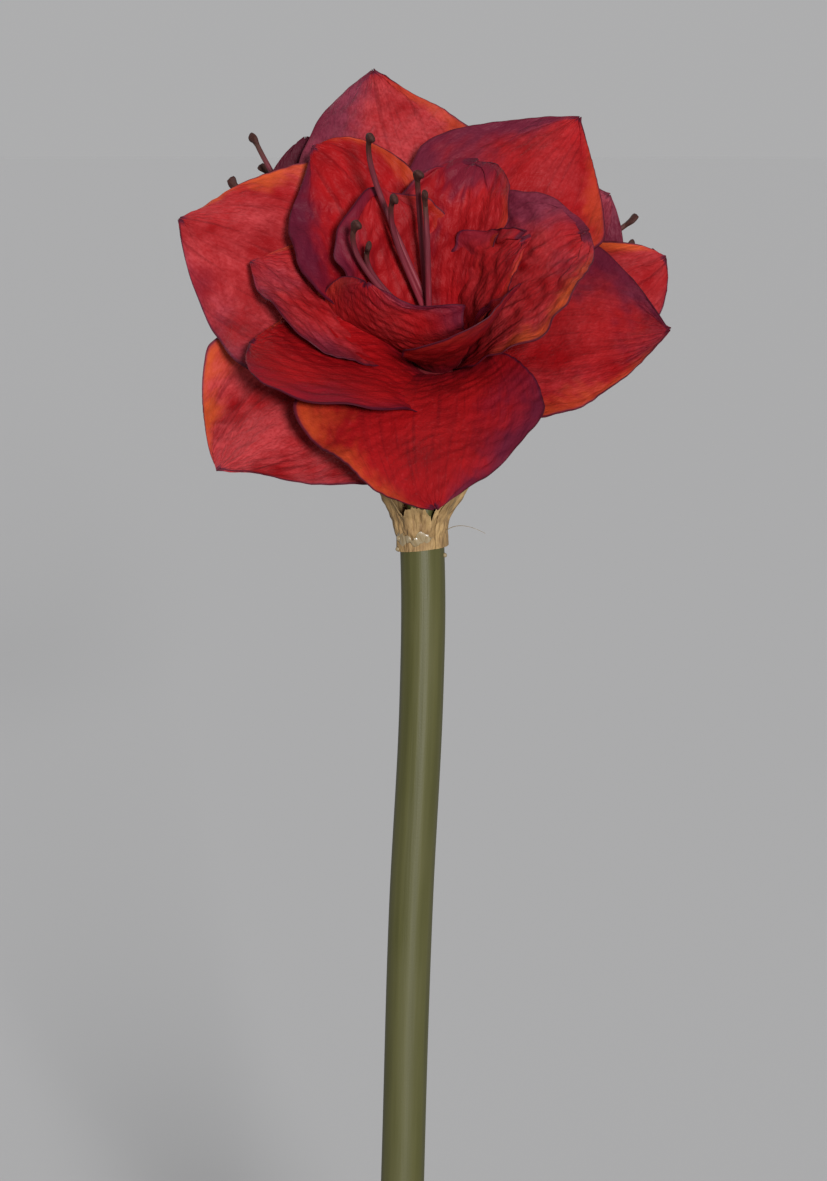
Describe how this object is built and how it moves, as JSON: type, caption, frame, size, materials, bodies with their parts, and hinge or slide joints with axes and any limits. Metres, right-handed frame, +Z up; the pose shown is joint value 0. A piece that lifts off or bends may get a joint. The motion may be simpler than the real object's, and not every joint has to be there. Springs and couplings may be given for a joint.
{
  "type": "amaryllis in vase",
  "caption": "Red double amaryllis, one bloom wide open before two half-open ones, on a leafless stem standing in a plain ceramic bottle vase.",
  "frame": {"origin": "middle of the vase's foot, on the surface that it stands on", "axes": "+Z up along the vase, the open bloom faces -Y, +X to the viewer's right"},
  "size_m": [0.2023, 0.2538, 0.6886],
  "materials": {
    "vase": "matt pale warm grey stoneware",
    "stem": "olive green with a soft sheen",
    "spathe": "dry, wrinkled golden brown",
    "petals": "deep red with a pinkish sheen, orange and plum rims and pressed veins",
    "stamens": "dark maroon filaments with brownish green anthers"
  },
  "bodies": {
    "root": {"vase": "vase", "stem": "stem", "spathe": "spathe", "bloom_front": "petals", "bloom_left": "petals", "bloom_right": "petals", "stamens_front": "stamens", "stamens_left": "stamens", "stamens_right": "stamens"}
  },
  "joints": []
}
